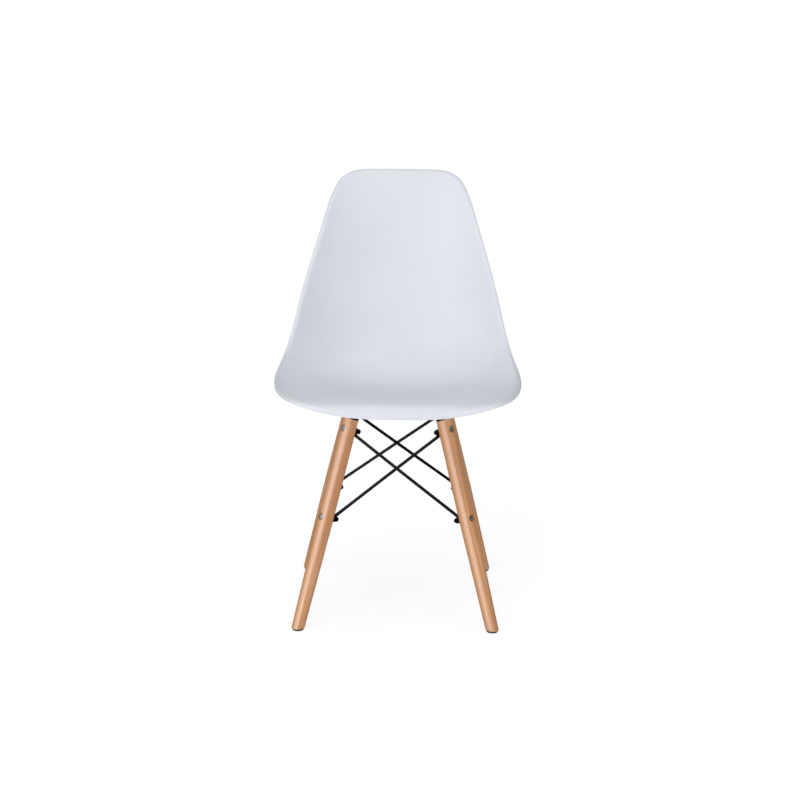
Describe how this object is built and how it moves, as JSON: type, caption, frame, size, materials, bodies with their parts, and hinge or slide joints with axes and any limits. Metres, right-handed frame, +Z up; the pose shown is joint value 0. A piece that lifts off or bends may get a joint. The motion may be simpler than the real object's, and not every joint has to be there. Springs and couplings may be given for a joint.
{
  "type": "dining chair",
  "caption": "Side chair with a moulded plastic bucket seat on splayed wooden dowel legs, joined by a steel spider and crossed wire braces.",
  "frame": {"origin": "on the floor, at the middle of the whole chair's box seen from above", "axes": "+Z up, the chair faces -Y, +X to the right as seen from the front"},
  "size_m": [0.4596, 0.5348, 0.8086],
  "materials": {
    "seat_plastic": "cool white moulded polypropylene, satin gloss with a very fine moulded texture",
    "leg_wood": "clear-lacquered beech dowel, warm tan with fine grain along the leg",
    "black_steel": "black powder-coated steel rod and strap",
    "black_nut": "black domed cap nuts with a slight gloss",
    "zinc_steel": "bright zinc-plated steel bolts with hexagon sockets",
    "brass": "plain turned brass",
    "rubber": "matt black rubber",
    "glide_plastic": "dark nylon glide"
  },
  "bodies": {
    "root": {"seat_shell": "seat_plastic", "seat_inserts": "brass", "seat_screws": "zinc_steel", "seat_washers": "zinc_steel", "rubber_mount_rear_right": "rubber", "rubber_mount_rear_left": "rubber", "rubber_mount_front_left": "rubber", "rubber_mount_front_right": "rubber", "spider_hub": "black_steel", "spider_arm_rear_right": "black_steel", "spider_arm_rear_left": "black_steel", "spider_arm_front_left": "black_steel", "spider_arm_front_right": "black_steel", "leg_rear_right": "leg_wood", "leg_rear_left": "leg_wood", "leg_front_left": "leg_wood", "leg_front_right": "leg_wood", "glide_rear_right": "glide_plastic", "glide_rear_left": "glide_plastic", "glide_front_left": "glide_plastic", "glide_front_right": "glide_plastic", "glide_nails": "zinc_steel", "upper_leg_bolts": "zinc_steel", "upper_leg_washers": "black_steel", "upper_cap_nuts": "black_nut", "lower_leg_bolts": "zinc_steel", "lower_leg_washers": "black_steel", "lower_cap_nuts": "black_nut", "brace_rear_outer": "black_steel", "brace_rear_inner": "black_steel", "brace_left_outer": "black_steel", "brace_left_inner": "black_steel", "brace_front_outer": "black_steel", "brace_front_inner": "black_steel", "brace_right_outer": "black_steel", "brace_right_inner": "black_steel"}
  },
  "joints": []
}
